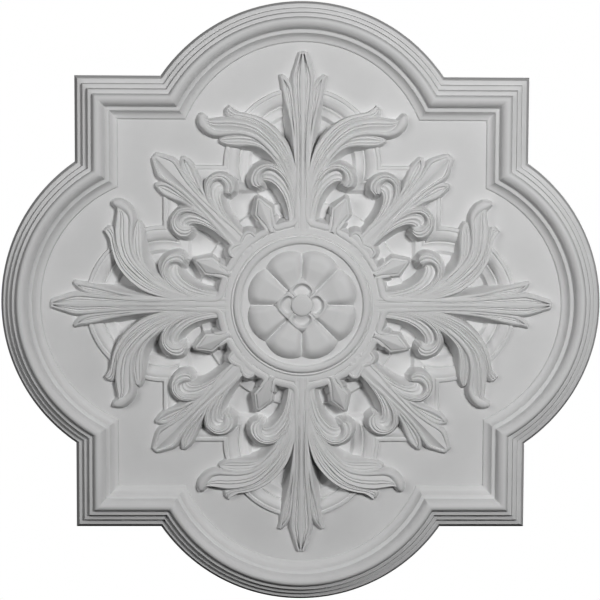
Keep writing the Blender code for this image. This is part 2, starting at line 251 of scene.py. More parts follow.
bm = bmesh.new()
field_edge = border_loop(BORDER_WIDTH - FIELD_OVERLAP)
rings = [ring(field_edge, height) for height in (FIELD_FOOT, FIELD_HEIGHT)]
rings += [ring(strap_loop(inset), height) for inset, height in eased(STRAP_PROFILE, STRAP_ARRIS)]
run_moulding(bm, rings)
cast_piece(bm, "field_and_strapwork")


# Hub
# A low disc on the sunk panel carries the round plate that the stems spring from, and on the plate a
# bead and a raised ring frame the rosette's shallow dish.
HUB_HEIGHT = 30.0
HUB_PROFILE = (
    (0.0, 30.0), (78.6, 30.0), (79.6, 31.2), (80.4, 33.6), (83.0, 34.5), (86.4, 34.3), (88.4, 33.0),
    (89.1, 30.6), (90.0, 30.5), (90.7, 31.2), (91.8, 31.2), (92.6, 30.2), (93.4, 29.8), (94.4, 30.0),
    (99.8, 30.0), (101.2, 28.8), (108.8, 28.7), (109.8, 28.2), (112.6, 11.0), (113.5, 9.2), (134.0, 8.8),
    (136.4, 3.6), (137.0, 2.0), (0.0, 2.0),
)
HUB_ARRIS = 0.4
HUB_STEPS = 288


def turned(bm, profile, steps):
    """Spin a profile of (radius, height) points round the middle of the rose."""
    outline = [bm.verts.new((radius, 0.0, height)) for radius, height in profile]
    edges = [bm.edges.new(pair) for pair in zip(outline, outline[1:])]
    bmesh.ops.spin(bm, geom=outline + edges, cent=(0, 0, 0), axis=(0, 0, 1), angle=math.tau, steps=steps,
                   use_merge=True)
    bmesh.ops.remove_doubles(bm, verts=bm.verts, dist=MERGE_MM)


bm = bmesh.new()
turned(bm, eased(HUB_PROFILE, HUB_ARRIS), HUB_STEPS)
cast_piece(bm, "hub_ring")


# Rosette petals
# Eight cushioned petals fill the dish, nearly flat on top, round at their sides and falling steeply at
# their ends; each meets its neighbours in a fine crease.
PETALS = 8
DIAGONAL = math.pi / QUARTERS
PETAL_REACH = 73.0
PETAL_END_RADIUS = 35.3
PETAL_START = 22.0
PETAL_CUT = 25.5
PETAL_RISE = 10.0
PETAL_SEAT = 0.2
PETAL_ROOT = 3.0
PETAL_END_SHOULDER = 14.5
# At distances out from the middle, the width of the side's shoulder and the share of the full rise
PETAL_SIDE_SHOULDER = ((24.0, 4.0), (64.0, 12.5))
PETAL_INNER_RISE = ((24.0, 0.66), (48.0, 1.0))
PETAL_SIDE_ROWS = 26
PETAL_END_ROWS = 30
PETAL_COLUMNS = 41
CREASE_RISE = 0.30
CREASE_HALF_WIDTH = 0.7
# How much of a cushion's shoulder is a round and not a parabola
CUSHION_ROUNDNESS = 0.45


def cushioned(share):
    """Height of a cushion, from 0 at its edge to 1 where its shoulder ends."""
    left = 1.0 - np.clip(share, 0.0, 1.0)
    return CUSHION_ROUNDNESS * np.sqrt(1.0 - left ** 2) + (1.0 - CUSHION_ROUNDNESS) * (1.0 - left ** 2)


def petal_places():
    """A petal along the upward axis: straight sides out from the middle, then its round end."""
    half_angle = math.pi / PETALS
    end_centre = PETAL_REACH - PETAL_END_RADIUS
    shoulder = half_angle + math.asin(end_centre * math.sin(half_angle) / PETAL_END_RADIUS)
    shoulder_along = end_centre + PETAL_END_RADIUS * math.cos(shoulder)
    rows = [(along, along * math.tan(half_angle))
            for along in np.linspace(PETAL_START, shoulder_along, PETAL_SIDE_ROWS)]
    rows += [(end_centre + PETAL_END_RADIUS * math.cos(turn), PETAL_END_RADIUS * math.sin(turn))
             for turn in np.linspace(shoulder, 0.0, PETAL_END_ROWS)[1:]]
    across = np.sin(np.linspace(-math.pi / 2, math.pi / 2, PETAL_COLUMNS))
    places = []
    for along, half in rows:
        x = across * half
        from_side = (along * math.tan(half_angle) - np.abs(x)) * math.cos(half_angle)
        from_end = PETAL_END_RADIUS - np.hypot(x, max(along - end_centre, 0.0))
        side_shoulder = np.interp(along, *zip(*PETAL_SIDE_SHOULDER))
        side = cushioned((from_side - CREASE_HALF_WIDTH) / side_shoulder)
        end = cushioned(from_end / PETAL_END_SHOULDER)
        inner = np.interp(along, *zip(*PETAL_INNER_RISE))
        rise = PETAL_RISE * inner * end * (CREASE_RISE + (1.0 - CREASE_RISE) * side)
        places.append(np.column_stack([x, np.full(len(x), along), HUB_HEIGHT + PETAL_SEAT + rise]))
    return np.array(places)


def skirted(places, foot_height):
    """The same grid with one more line of points all round it, straight below its edge."""
    grown = np.pad(places, ((1, 1), (1, 1), (0, 0)), mode="edge")
    grown[[0, -1], :, 2] = foot_height
    grown[:, [0, -1], 2] = foot_height
    return grown


bm = bmesh.new()
for turn in (-math.pi / PETALS, math.pi / PETALS):
    grid = formed_grid(bm, skirted(petal_places(), HUB_HEIGHT - PETAL_ROOT))
    bmesh.ops.rotate(bm, verts=grid, cent=(0, 0, 0), matrix=Matrix.Rotation(turn, 3, "Z"))
    bmesh.ops.remove_doubles(bm, verts=grid, dist=MERGE_MM)
bmesh.ops.bisect_plane(bm, geom=bm.verts[:] + bm.edges[:] + bm.faces[:], plane_co=(0, PETAL_CUT, 0),
                       plane_no=(0, -1, 0), clear_outer=True)
close_openings(bm)
petal_pair = as_mesh(bm, "petal_pair")


def add_turned(bm, mesh, turn):
    """Add a copy of a mesh, turned round the middle of the rose."""
    turned_mesh = mesh.copy()
    turned_mesh.transform(Matrix.Rotation(turn, 4, "Z"))
    bm.from_mesh(turned_mesh)
    bpy.data.meshes.remove(turned_mesh)


def repeated(mesh, copies, first_turn):
    """Copies of a mesh, spaced evenly round the middle of the rose."""
    bm = bmesh.new()
    for index in range(copies):
        add_turned(bm, mesh, first_turn + math.tau * index / copies)
    return bm


cast_piece(repeated(petal_pair, QUARTERS, DIAGONAL), "rosette_petals", sharp_degrees=50.0)


# Rosette's middle
# Four cups, deep at their outer walls, lie on a square whose corners point along the axes, with a narrow
# cleft between each two, and a nearly flat button stands out furthest of all.
CALYX_CORNER = 36.5
CALYX_EDGE_HEIGHT = 34.8
CALYX_ROOT = 1.0
CALYX_SLOPE_SHARES = (0.3, 0.6, 0.9, 1.0)
CUP_CENTRE = 15.4
CUP_OUTER_RADIUS = 17.2
CUP_INNER_RADIUS = 13.3
CUP_CORNER = 4.0
CUP_EDGE_GAP = 0.2
CUP_COLUMNS = 121
CUP_ROWS = 80
CLEFT_LIP = 1.2
CLEFT_HALF_WIDTH = 0.5
CLEFT_SLOPE_WIDTH = 0.7
CLEFT_DEPTH = 1.2
# Heights of the rim and of the floor over the distance from the middle of the rose
CUP_RIM = ((0.0, 37.9), (14.3, 37.9), (14.8, 39.2), (18.0, 39.8), (25.0, 40.1), (30.0, 39.9), (32.6, 38.4))
CUP_FLOOR = ((0.0, 37.0), (14.3, 37.0), (14.8, 37.3), (18.0, 35.6), (22.0, 34.3), (27.0, 33.8))
# Share of the way from rim to floor over the distance in from the cup's wall
CUP_WALL = ((0.0, 0.0), (0.5, 0.15), (2.6, 0.74), (4.0, 0.95), (6.5, 1.0))
BUTTON_RADIUS = 14.2
BUTTON_ROOT_HEIGHT = 28.0
BUTTON_COVER = 1.5
BUTTON_STEPS = 96
BUTTON_ARRIS = 0.5
BUTTON_PROFILE = (
    (0.0, DEPTH), (7.0, DEPTH), (11.0, DEPTH - 0.3), (BUTTON_RADIUS - 0.8, DEPTH - 0.9),
    (BUTTON_RADIUS, DEPTH - 2.0), (BUTTON_RADIUS, BUTTON_ROOT_HEIGHT), (0.0, BUTTON_ROOT_HEIGHT),
)


def cup_places():
    """One quarter of the calyx in plan, from below the button out to the square's edge and down."""
    turn = DIAGONAL * np.sin(np.linspace(-math.pi / 2, math.pi / 2, CUP_COLUMNS))[None]
    square = CALYX_CORNER / (np.cos(turn) + np.abs(np.sin(turn)))
    edge = CUP_CENTRE * np.cos(turn) + np.sqrt(CUP_OUTER_RADIUS ** 2 - (CUP_CENTRE * np.sin(turn)) ** 2)
    edge = np.minimum(edge, square - CUP_EDGE_GAP)
    start = BUTTON_RADIUS - BUTTON_COVER
    inside = start + np.linspace(0.0, 1.0, CUP_ROWS)[:, None] * (edge - start)
    from_cleft = inside * np.sin(DIAGONAL - np.abs(turn)) - CLEFT_HALF_WIDTH
    from_wall = CUP_INNER_RADIUS - np.hypot(inside * np.sin(turn), inside * np.cos(turn) - CUP_CENTRE)
    from_wall = CUP_CORNER - np.hypot(np.maximum(CUP_CORNER - from_wall, 0.0),
                                      np.maximum(CUP_CORNER - from_cleft + CLEFT_LIP, 0.0))
    rim = np.interp(inside, *zip(*CUP_RIM))
    height = rim + (np.interp(inside, *zip(*CUP_FLOOR)) - rim) * np.interp(from_wall, *zip(*CUP_WALL))
    height -= CLEFT_DEPTH * (1.0 - np.clip(from_cleft / CLEFT_SLOPE_WIDTH, 0.0, 1.0))
    slope = np.array(CALYX_SLOPE_SHARES)[:, None]
    outside = edge + slope * (square - edge)
    fall = height[-1] + slope * (CALYX_EDGE_HEIGHT - height[-1])
    radius = np.vstack([inside, outside])
    return np.dstack([radius * np.sin(turn), radius * np.cos(turn), np.vstack([height, fall])])


bm = bmesh.new()
formed_grid(bm, skirted(cup_places(), HUB_HEIGHT - CALYX_ROOT))
close_openings(bm)
cast_piece(repeated(as_mesh(bm, "cup"), QUARTERS, 0.0), "rosette_calyx", sharp_degrees=50.0)

bm = bmesh.new()
turned(bm, eased(BUTTON_PROFILE, BUTTON_ARRIS), BUTTON_STEPS)
cast_piece(bm, "rosette_button")


# Darts
# Between the stems eight pointed darts stand out from the hub, each with a raised rim round two sloping
# facets that meet in a ridge.
DARTS = 8
ROOT_HEIGHT = 2.0
DART_ROOT = 99.0
DART_MIDDLE = 126.0
DART_TIP = 149.6
DART_ROOT_HEIGHT = 29.8
DART_TIP_HEIGHT = 24.5
DART_PLAN = (
    (-4.6, DART_ROOT), (-6.0, 110.0), (-12.4, 131.0), (-2.3, 149.0), (0.0, DART_TIP), (2.3, 149.0),
    (12.4, 131.0), (6.0, 110.0), (4.6, DART_ROOT), (0.0, DART_ROOT),
)
DART_FOOT_SPREAD = 6.3
DART_RIM = 2.7
DART_WALL_WIDTH = 0.8
DART_WALL_DEPTH = 2.3
DART_RIDGE = 2.7
DART_ARRIS = 0.35
ON_AXIS = 0.01

bm = bmesh.new()
plan = bmesh.ops.create_circle(bm, cap_ends=True, segments=len(DART_PLAN))["verts"]
for vert, (x, y) in zip(plan, DART_PLAN):
    share = (y - DART_ROOT) / (DART_TIP - DART_ROOT)
    vert.co = (x, y, DART_ROOT_HEIGHT + share * (DART_TIP_HEIGHT - DART_ROOT_HEIGHT))
top = bm.faces[:]
foot = bmesh.ops.extrude_edge_only(bm, edges=bm.edges[:])["geom"]
for vert in (element for element in foot if isinstance(element, bmesh.types.BMVert)):
    away = (vert.co.xy - Vector((0.0, DART_MIDDLE))).normalized() * DART_FOOT_SPREAD
    vert.co = (vert.co.x + away.x, vert.co.y + away.y, ROOT_HEIGHT)
bmesh.ops.inset_region(bm, faces=top, thickness=DART_RIM, depth=0.0)
bmesh.ops.inset_region(bm, faces=top, thickness=DART_WALL_WIDTH, depth=-DART_WALL_DEPTH)
base, tip = sorted(top[0].verts, key=lambda vert: (abs(vert.co.x) > ON_AXIS, vert.co.y))[:2]
bmesh.ops.connect_verts(bm, verts=[base, tip])
base.co.z += DART_RIDGE
bmesh.ops.bevel(bm, geom=[edge for edge in bm.edges if not edge.is_boundary], offset=DART_ARRIS, segments=2,
                profile=0.5, affect="EDGES", material=-1)
close_openings(bm)
cast_piece(repeated(as_mesh(bm, "dart"), DARTS, math.pi / DARTS), "darts", sharp_degrees=25.0)


# Long leaf sprays
# On each axis a reeded stem ends in a spear, with an ear on both sides of it, a fan of three fingers and
# a curl that rolls over at its end. The carver's hollows run with the leaf.
STEM_HEIGHT = 30.2
TIP_HEIGHT = 19.0
STEM_WALL_LEAN = 0.30
TIP_WALL_LEAN = 0.50
# Down a wall, from its top to its foot: share of its lean, and share of its fall
WALL_STEPS = ((0.0, 0.0), (0.2, 0.2), (0.55, 0.6), (1.0, 1.0))
LEAF_ROWS = 84
HOLLOW_STEPS = 4
HOLLOW_EASE = 0.35
ROW_CROWDING = 1.35
RIM_WIDTH = 3.0
RIM_RELIEF = 0.4
# Relief is fainter on a narrow lobe, and over the first stretch out of the stem
NARROW_STRENGTH = 0.3
NARROW_POWER = 1.2
ROOT_STRETCH = 0.2
ROOT_STRENGTH = 0.2
# Along a lobe from 0 to 1: where its hollows grow deeper, and where a rimmed tip closes over them
DEEPENING = (0.55, 0.85)
CLOSING = (0.8, 0.88)

# Section of a lobe: share of the way across it, and height in millimetres over its middle surface
SPEAR_SECTION = ((0.0, -0.5), (0.05, 0.6), (0.11, 0.4), (0.19, -2.4), (0.26, -0.4), (0.31, -1.6), (0.37, 0.2),
                 (0.5, 0.6), (0.63, 0.2), (0.69, -1.6), (0.74, -0.4), (0.81, -2.4), (0.89, 0.4), (0.95, 0.6),
                 (1.0, -0.5))
EAR_SECTION = ((0.0, -0.6), (0.06, 0.5), (0.12, 0.3), (0.30, -2.0), (0.46, -0.7), (0.62, -1.9), (0.88, 0.3),
               (0.94, 0.6), (1.0, -0.3))
UPPER_SECTION = ((0.0, -0.6), (0.08, 0.5), (0.43, -1.4), (0.50, 0.5), (0.70, -1.2), (0.77, 0.4), (1.0, -1.0))
MIDDLE_SECTION = ((0.0, -0.6), (0.06, 0.5), (0.29, -1.4), (0.35, 0.5), (0.47, -1.2), (0.53, 0.5),
                  (0.80, -1.7), (1.0, -1.8))
ROLL_SECTION = ((0.0, -1.8), (0.12, -0.2), (0.3, 0.8), (0.5, 1.1), (0.7, 0.8), (0.88, 0.0), (1.0, -1.4))
LOWER_SECTION = ((0.0, -0.8), (0.07, 0.4), (0.24, -1.4), (0.30, 0.3), (0.54, -1.8), (0.61, 0.2), (0.80, -0.2),
                 (0.88, 0.6), (1.0, -0.5))
CURL_SECTION = ((0.0, -0.8), (0.08, 0.3), (0.26, -1.0), (0.42, 0.4), (0.60, -0.9), (0.76, 0.4), (0.88, -0.6),
                (0.95, 0.3), (1.0, -0.8))
BAND_SECTION = ((0.0, -2.4), (0.08, -0.6), (0.17, 0.2), (0.27, -0.7), (0.40, 0.7), (0.56, -0.8), (0.67, 0.6),
                (0.85, 0.1), (1.0, -2.2))

# Both edges of each lobe of the right side, from root to tip: (x, y) of the one edge, (x, y) of the
# other, and a rise from 0 at the height of the tips to 1 at the height of the stem
SPEAR = (
    (-9.5, 95, 9.5, 95, 0.98), (-9.2, 125, 9.2, 125, 1.0), (-8.2, 160, 8.2, 160, 1.0),
    (-7.6, 200, 7.6, 200, 0.85), (-8.8, 232, 8.8, 232, 0.7), (-11.5, 262, 11.5, 262, 0.5),
    (-13.4, 286, 13.4, 286, 0.32), (-13.2, 296, 13.2, 296, 0.22), (-10.4, 307, 10.4, 307, 0.14),
    (-7.4, 317.5, 7.4, 317.5, 0.07), (-5.5, 324, 5.5, 324, 0.04), (-4.7, 326.3, 4.7, 326.3, 0.0),
)
EAR = (
    (4.0, 165, 8.0, 165, 0.9), (6.0, 200, 11.0, 200, 0.75), (8.0, 230, 15.0, 230, 0.6),
    (9.8, 250, 19.3, 250, 0.45), (11.8, 268, 23.4, 266, 0.3), (14.2, 280, 25.8, 278, 0.2),
    (18.8, 289, 27.0, 287.5, 0.12), (23.6, 294.6, 28.4, 293.5, 0.05), (27.0, 297, 29.3, 296.4, 0.0),
)
UPPER_FINGER = (
    (5.5, 150, 7.5, 145, 0.9), (9.5, 180, 15.0, 176, 0.95), (17.0, 204.5, 25.0, 198, 1.0),
    (28.0, 221.0, 38.0, 216.5, 0.95), (41.0, 233.5, 53.0, 230.2, 0.85), (55.5, 242.5, 70.0, 238.3, 0.7),
    (71.0, 247.4, 83.0, 241.4, 0.5), (82.5, 249.6, 93.0, 243.6, 0.3), (89.8, 253.4, 99.6, 247.4, 0.2),
    (94.6, 256.8, 99.8, 252.4, 0.1),
)
MIDDLE_FINGER = (
    (6.0, 130, 8.5, 122, 0.9), (12.0, 165, 15.5, 158, 0.95), (24.0, 196, 29.5, 185, 1.0),
    (40.0, 217.5, 46.0, 203.5, 1.0), (58.0, 233.5, 64.0, 216.5, 0.9), (76.0, 240.6, 80.0, 220.4, 0.75),
    (93.0, 242.9, 96.0, 221.2, 0.6), (107.0, 241.8, 111.0, 222.5, 0.45),
    (117.0, 240.2, 120.0, 227.0, 0.4), (122.5, 239.8, 125.0, 233.5, 0.35),
    (125.5, 240.4, 127.0, 238.0, 0.3),
)
ROLL = (
    (30.0, 191, 32.0, 187.5, 0.98), (45.0, 209, 47.5, 204.5, 1.0), (60.5, 220.0, 64.0, 216.0, 0.92),
    (77.5, 224.6, 80.0, 220.2, 0.8), (95.0, 225.4, 96.0, 219.8, 0.66), (107.5, 224.9, 110.5, 218.6, 0.58),
    (114.9, 226.6, 121.0, 221.2, 0.54), (119.7, 230.6, 129.2, 227.4, 0.5),
    (122.8, 236.0, 133.8, 234.4, 0.46), (125.6, 241.6, 135.0, 240.2, 0.38),
    (128.9, 245.2, 134.4, 244.0, 0.28), (130.9, 246.4, 133.4, 245.8, 0.2),
)
LOWER_FINGER = (
    (6.5, 115, 9.0, 107, 0.9), (11.0, 145, 14.0, 137, 0.9), (21.0, 175, 25.5, 168, 0.9),
    (35.0, 196.5, 40.0, 190.5, 0.85), (50.0, 210.0, 54.0, 202.5, 0.75), (66.0, 218.0, 68.0, 205.8, 0.65),
    (82.0, 220.5, 83.0, 205.8, 0.5), (93.5, 219.2, 95.0, 206.6, 0.35), (101.5, 217.0, 103.0, 209.5, 0.25),
    (106.0, 215.0, 107.0, 212.2, 0.15),
)
CURL_LEAF = (
    (5.0, 101, 16.0, 101, 0.85), (8.0, 124, 18.5, 121, 0.85), (13.0, 147, 23.5, 138, 0.8),
    (22.0, 163.5, 30.5, 150, 0.7), (33.0, 174.0, 38.5, 157.5, 0.55), (44.0, 177.5, 45.0, 160.5, 0.35),
    (52.5, 173.5, 49.0, 161.0, 0.15), (54.0, 167.0, 50.5, 161.0, 0.05),
)
CURL_BAND = (
    (2.0, 108, 6.0, 108, 0.85), (5.5, 130, 10.0, 128, 0.9), (10.5, 149, 16.0, 146.5, 0.9),
    (18.0, 165, 24.5, 161.5, 0.9), (28.5, 177.6, 34.0, 171.5, 0.85), (41.2, 183.6, 45.0, 175.0, 0.8),
    (54.0, 182.2, 51.6, 172.0, 0.75), (64.2, 174.8, 54.0, 166.5, 0.7), (69.0, 163.8, 53.0, 161.0, 0.6),
    (66.6, 154.8, 51.0, 158.0, 0.5), (60.0, 151.4, 51.5, 156.4, 0.4),
)


def flowing(knots, rows):
    """Rows along a Catmull-Rom curve through the knots, closer together towards the tip."""
    knots = np.array(knots, float)
    padded = np.vstack([2 * knots[0] - knots[1], knots, 2 * knots[-1] - knots[-2]])
    spans = len(knots) - 1
    place = spans * (1.0 - (1.0 - np.linspace(0.0, 1.0, rows)) ** ROW_CROWDING)
    span = np.minimum(place.astype(int), spans - 1)
    t = (place - span)[:, None]
    a, b, c, d = (padded[span + step] for step in range(4))
    return b + 0.5 * t * (c - a + t * (2 * a - 5 * b + 4 * c - d + t * (3 * (b - c) + d - a)))


def across_section(section):
    """Shares across a lobe, and the heights there: hollow between the arrises, which stay sharp."""
    shares = [section[0][0]]
    heights = [section[0][1]]
    for (start, low), (end, high) in zip(section, section[1:]):
        for step in range(1, HOLLOW_STEPS + 1):
            t = step / HOLLOW_STEPS
            bend = math.sin(0.5 * math.pi * t) if low > high else 1.0 - math.cos(0.5 * math.pi * t)
            bend += HOLLOW_EASE * (t - bend)
            shares.append(start + t * (end - start))
            heights.append(low + bend * (high - low))
    return np.array(shares), np.array(heights)


def outward(line, towards):
    """Unit normals in plan of a line of points, on the side away from another line."""
    along = np.gradient(line, axis=0)
    normal = np.column_stack([along[:, 1], -along[:, 0]])
    length = np.maximum(np.hypot(normal[:, 0], normal[:, 1]), 1e-9)
    normal /= length[:, None]
    facing = np.sum(normal * (line - towards), axis=1)
    sign = np.where(facing >= 0, 1.0, -1.0)
    return normal * sign[:, None]


def walled(top, one, other, leans, rise):
    """The grid of a lobe's top with rings of points round it, down leaning walls to their foot."""
    depth = len(WALL_STEPS) - 1
    places = np.pad(top, ((depth, depth), (depth, depth), (0, 0)), mode="edge")
    away = np.zeros(places.shape[:2] + (2,))
    away[depth:-depth, :depth] = leans[0] * outward(one, other)[:, None]
    away[depth:-depth, -depth:] = leans[1] * outward(other, one)[:, None]
    lead = one[-1] + other[-1] - one[-3] - other[-3]
    trail = one[0] + other[0] - one[2] - other[2]
    away[-depth:, depth:-depth] = lead / np.hypot(*lead)
    away[:depth, depth:-depth] = trail / np.hypot(*trail)
    for rows_at, row_edge in ((slice(0, depth), depth), (slice(-depth, None), -depth - 1)):
        for columns_at, column_edge in ((slice(0, depth), depth), (slice(-depth, None), -depth - 1)):
            turn = away[row_edge, columns_at][0] + away[rows_at, column_edge][0]
            away[rows_at, columns_at] = turn / max(np.hypot(*turn), 1.0)
    steps_out = [np.maximum(depth - np.arange(count), np.arange(count) - count + 1 + depth)
                 for count in places.shape[:2]]
    step = np.clip(np.maximum.outer(*steps_out), 0, depth)
    out, down = np.array(WALL_STEPS)[step].transpose(2, 0, 1)
    fall = places[:, :, 2] - ROOT_HEIGHT
    lean = TIP_WALL_LEAN + np.clip(rise, 0.0, 1.0) * (STEM_WALL_LEAN - TIP_WALL_LEAN)
    lean = np.pad(lean, depth, mode="edge")[:, None]
    places[:, :, :2] += away * (lean * fall * out)[:, :, None]
    places[:, :, 2] -= fall * down
    return places


def leaf_lobe(bm, knots, section, crown, full_width=7.0, rim=0.0, leans=(1.0, 1.0), tip_gain=0.0,
              mirror=1):
    """One carved lobe, with hollows along it and leaning walls down into the casting.

    The crown is the bulge of its top, and the relief is at its full strength from the full width up.
    A rim is the share of the section at each edge that keeps one width along the lobe. The leans make
    the walls of its two edges steeper, and the tip gain makes its hollows deeper towards the tip.
    """
    rows = flowing(knots, LEAF_ROWS)
    one = rows[:, 0:2] * (mirror, 1)
    other = rows[:, 2:4] * (mirror, 1)
    width = np.hypot(*(other - one).T)
    progress = np.linspace(0.0, 1.0, len(rows))
    section_shares, relief = across_section(section)
    shares = np.repeat(section_shares[None], len(rows), axis=0)
    deeper = 1.0 + tip_gain * np.interp(progress, DEEPENING, (0.0, 1.0))
    relief = np.where(relief < 0.0, relief * deeper[:, None], relief)
    if rim:
        edges = np.minimum(RIM_WIDTH / width, 0.5)
        shares = np.array([np.interp(section_shares, (0.0, rim, 1.0 - rim, 1.0), (0.0, edge, 1.0 - edge, 1.0))
                           for edge in edges])
        closed = np.interp(progress, CLOSING, (0.0, 1.0))[:, None]
        relief += (RIM_RELIEF - relief) * closed * (np.abs(section_shares - 0.5) < 0.5 - rim)
    strength = np.clip(width / full_width, NARROW_STRENGTH, 1.0) ** NARROW_POWER
    strength *= np.clip(progress / ROOT_STRETCH, ROOT_STRENGTH, 1.0)
    middle = TIP_HEIGHT + rows[:, 4] * (STEM_HEIGHT - TIP_HEIGHT)
    bulge = crown * 4 * shares * (1 - shares)
    height = middle[:, None] + strength[:, None] * (relief + bulge)
    plan = one[:, None] + shares[:, :, None] * (other - one)[:, None]
    formed_grid(bm, walled(np.dstack([plan, height]), one, other, leans, rows[:, 4]))


def spray(side_lobes, middle_lobes):
    """One leaf spray as a mesh: its middle lobes once, and its side lobes on both hands."""
    bm = bmesh.new()
    for lobe in middle_lobes:
        leaf_lobe(bm, **lobe)
    for lobe in side_lobes:
        for mirror in (1, -1):
            leaf_lobe(bm, **lobe, mirror=mirror)
    bmesh.ops.remove_doubles(bm, verts=bm.verts, dist=MERGE_MM)
    bmesh.ops.recalc_face_normals(bm, faces=bm.faces)
    return as_mesh(bm, "spray")


def four_sprays(name, mesh, first_turn):
    """The same spray four times round the rose, each a piece of its own."""
    for index in range(QUARTERS):
        bm = bmesh.new()
        add_turned(bm, mesh, first_turn + math.tau * index / QUARTERS)
        cast_piece(bm, f"{name}_{index + 1}", sharp_degrees=40.0)


long_side_lobes = (
    {"knots": EAR, "section": EAR_SECTION, "crown": 0.4, "rim": 0.12, "tip_gain": 0.6},
    {"knots": CURL_LEAF, "section": CURL_SECTION, "crown": 0.8},
    {"knots": CURL_BAND, "section": BAND_SECTION, "crown": 1.4, "full_width": 9.0, "leans": (0.8, 1.0)},
    {"knots": LOWER_FINGER, "section": LOWER_SECTION, "crown": 0.8, "full_width": 12.0},
    {"knots": UPPER_FINGER, "section": UPPER_SECTION, "crown": 0.8, "full_width": 12.0, "leans": (0.3, 1.0)},
    {"knots": MIDDLE_FINGER, "section": MIDDLE_SECTION, "crown": 0.8, "full_width": 14.0,
     "leans": (0.5, 1.0)},
    {"knots": ROLL, "section": ROLL_SECTION, "crown": 0.0, "full_width": 6.0},
)
spear = {"knots": SPEAR, "section": SPEAR_SECTION, "crown": 0.4, "rim": 0.11, "tip_gain": 1.0}
long_spray = spray(long_side_lobes, (spear,))
four_sprays("long_leaf_spray", long_spray, 0.0)


# Bands round the hub's notches
# A raised band edges the hub between stems and darts, and turns up at its ends into the stem's side and
# the dart's rim.
BAND_RISE = 1.02
NOTCH_SECTION = ((0.0, -1.4), (0.07, -0.5), (0.25, 0.5), (0.6, 0.5), (0.85, -0.1), (1.0, -0.8))
DART_END = (
    (24.0, 98.1, 26.0, 106.9, BAND_RISE), (31.5, 96.4, 32.0, 104.8, BAND_RISE),
    (36.0, 97.2, 34.2, 104.6, BAND_RISE), (38.3, 101.5, 35.1, 107.0, 1.0),
    (39.2, 107.5, 35.8, 110.5, 0.95), (39.8, 113.0, 36.3, 114.5, 0.85),
)
STEM_NOTCH = (
    (3.9, 138, 9.3, 138, 1.0), (3.9, 120, 9.4, 121, BAND_RISE), (4.5, 109.5, 10.2, 113.5, BAND_RISE),
    (8.2, 103.2, 12.8, 110.6, BAND_RISE), (14.0, 100.8, 17.0, 108.9, BAND_RISE),
) + DART_END
TIE_NOTCH = tuple((-x1, y1, -x2, y2, rise) for x1, y1, x2, y2, rise in reversed(DART_END)) + (
    (-12.0, 100.3, -12.5, 109.5, BAND_RISE), (0.0, 101.0, 0.0, 110.2, BAND_RISE),
    (12.0, 100.3, 12.5, 109.5, BAND_RISE),
) + DART_END

stem_notches = spray(({"knots": STEM_NOTCH, "section": NOTCH_SECTION, "crown": 0.0},), ())
tie_notch = spray((), ({"knots": TIE_NOTCH, "section": NOTCH_SECTION, "crown": 0.0},))
for index, (mesh, first_turn) in enumerate(((stem_notches, 0.0), (tie_notch, DIAGONAL))):
    cast_piece(repeated(mesh, QUARTERS, first_turn), f"notch_bands_{index + 1}", sharp_degrees=40.0)


# Short leaf sprays
# On each diagonal a stem opens into a pointed bud between two ears, over a pair of curls, and a small
# scrolled tie binds its foot to the hub.
BUD_SECTION = ((0.0, -0.5), (0.05, 0.6), (0.11, 0.5), (0.15, -2.0), (0.5, 1.3), (0.85, -2.0), (0.89, 0.5),
               (0.95, 0.6), (1.0, -0.5))
BUD = (
    (-10.5, 98, 10.5, 98, 1.0), (-10.5, 125, 10.5, 125, 1.0), (-9.0, 155, 9.0, 155, 0.95),
    (-7.5, 185, 7.5, 185, 0.85), (-8.0, 208, 8.0, 208, 0.7), (-10.5, 226, 10.5, 226, 0.5),
    (-13.8, 241, 13.8, 241, 0.35), (-14.9, 250, 14.9, 250, 0.25), (-11.4, 259, 11.4, 259, 0.15),
    (-7.0, 267.5, 7.0, 267.5, 0.05), (-4.0, 272, 4.0, 272, 0.0),
)
SHORT_EAR = (
    (4.0, 155, 8.5, 155, 0.9), (6.5, 188, 11.5, 185, 0.75), (8.2, 208, 16.5, 203, 0.6),
    (10.5, 224, 22.5, 216, 0.4), (13.0, 234, 25.8, 225, 0.25), (17.0, 240, 27.2, 233, 0.15),
    (21.5, 243.6, 27.0, 239.5, 0.08), (24.0, 245.2, 26.6, 243.2, 0.0),
)
SHORT_CURL_LEAF = (
    (3.0, 112, 10.5, 112, 0.9), (4.5, 138, 11.8, 138, 0.9), (8.5, 162, 15.0, 155, 0.8),
    (14.5, 180, 20.0, 167, 0.7), (23.0, 191, 25.5, 174, 0.55), (31.5, 193, 30.5, 176.5, 0.35),
    (37.5, 188.5, 33.0, 176.5, 0.15), (38.0, 183.0, 34.0, 177.0, 0.05),
)
SHORT_CURL_BAND = (
    (1.0, 125, 4.5, 125, 0.9), (3.5, 155, 8.0, 153, 0.9), (7.5, 179, 13.0, 175.5, 0.9),
    (14.0, 192.8, 19.5, 188.0, 0.9), (23.7, 200.8, 27.0, 193.4, 0.85), (35.6, 201.8, 34.0, 193.0, 0.8),
    (46.0, 196.2, 38.0, 189.0, 0.75), (51.8, 185.8, 38.0, 183.0, 0.7), (51.0, 174.6, 35.5, 179.0, 0.6),
    (44.2, 167.2, 32.5, 176.5, 0.5), (36.0, 167.0, 31.0, 174.5, 0.4),
)
TIE_SECTION = ((0.0, -0.9), (0.50, -0.7), (0.62, -1.0), (0.72, 0.5), (0.92, 0.5), (1.0, -0.7))
TIE = (
    (0.0, 104.0, 0.0, 115.0, 1.06), (4.0, 105.5, 4.7, 117.4, 1.06), (8.6, 107.5, 11.9, 119.8, 1.06),
    (12.0, 107.5, 18.4, 118.2, 1.05), (12.5, 106.0, 21.3, 113.4, 1.04), (12.0, 104.0, 21.6, 107.5, 1.03),
)

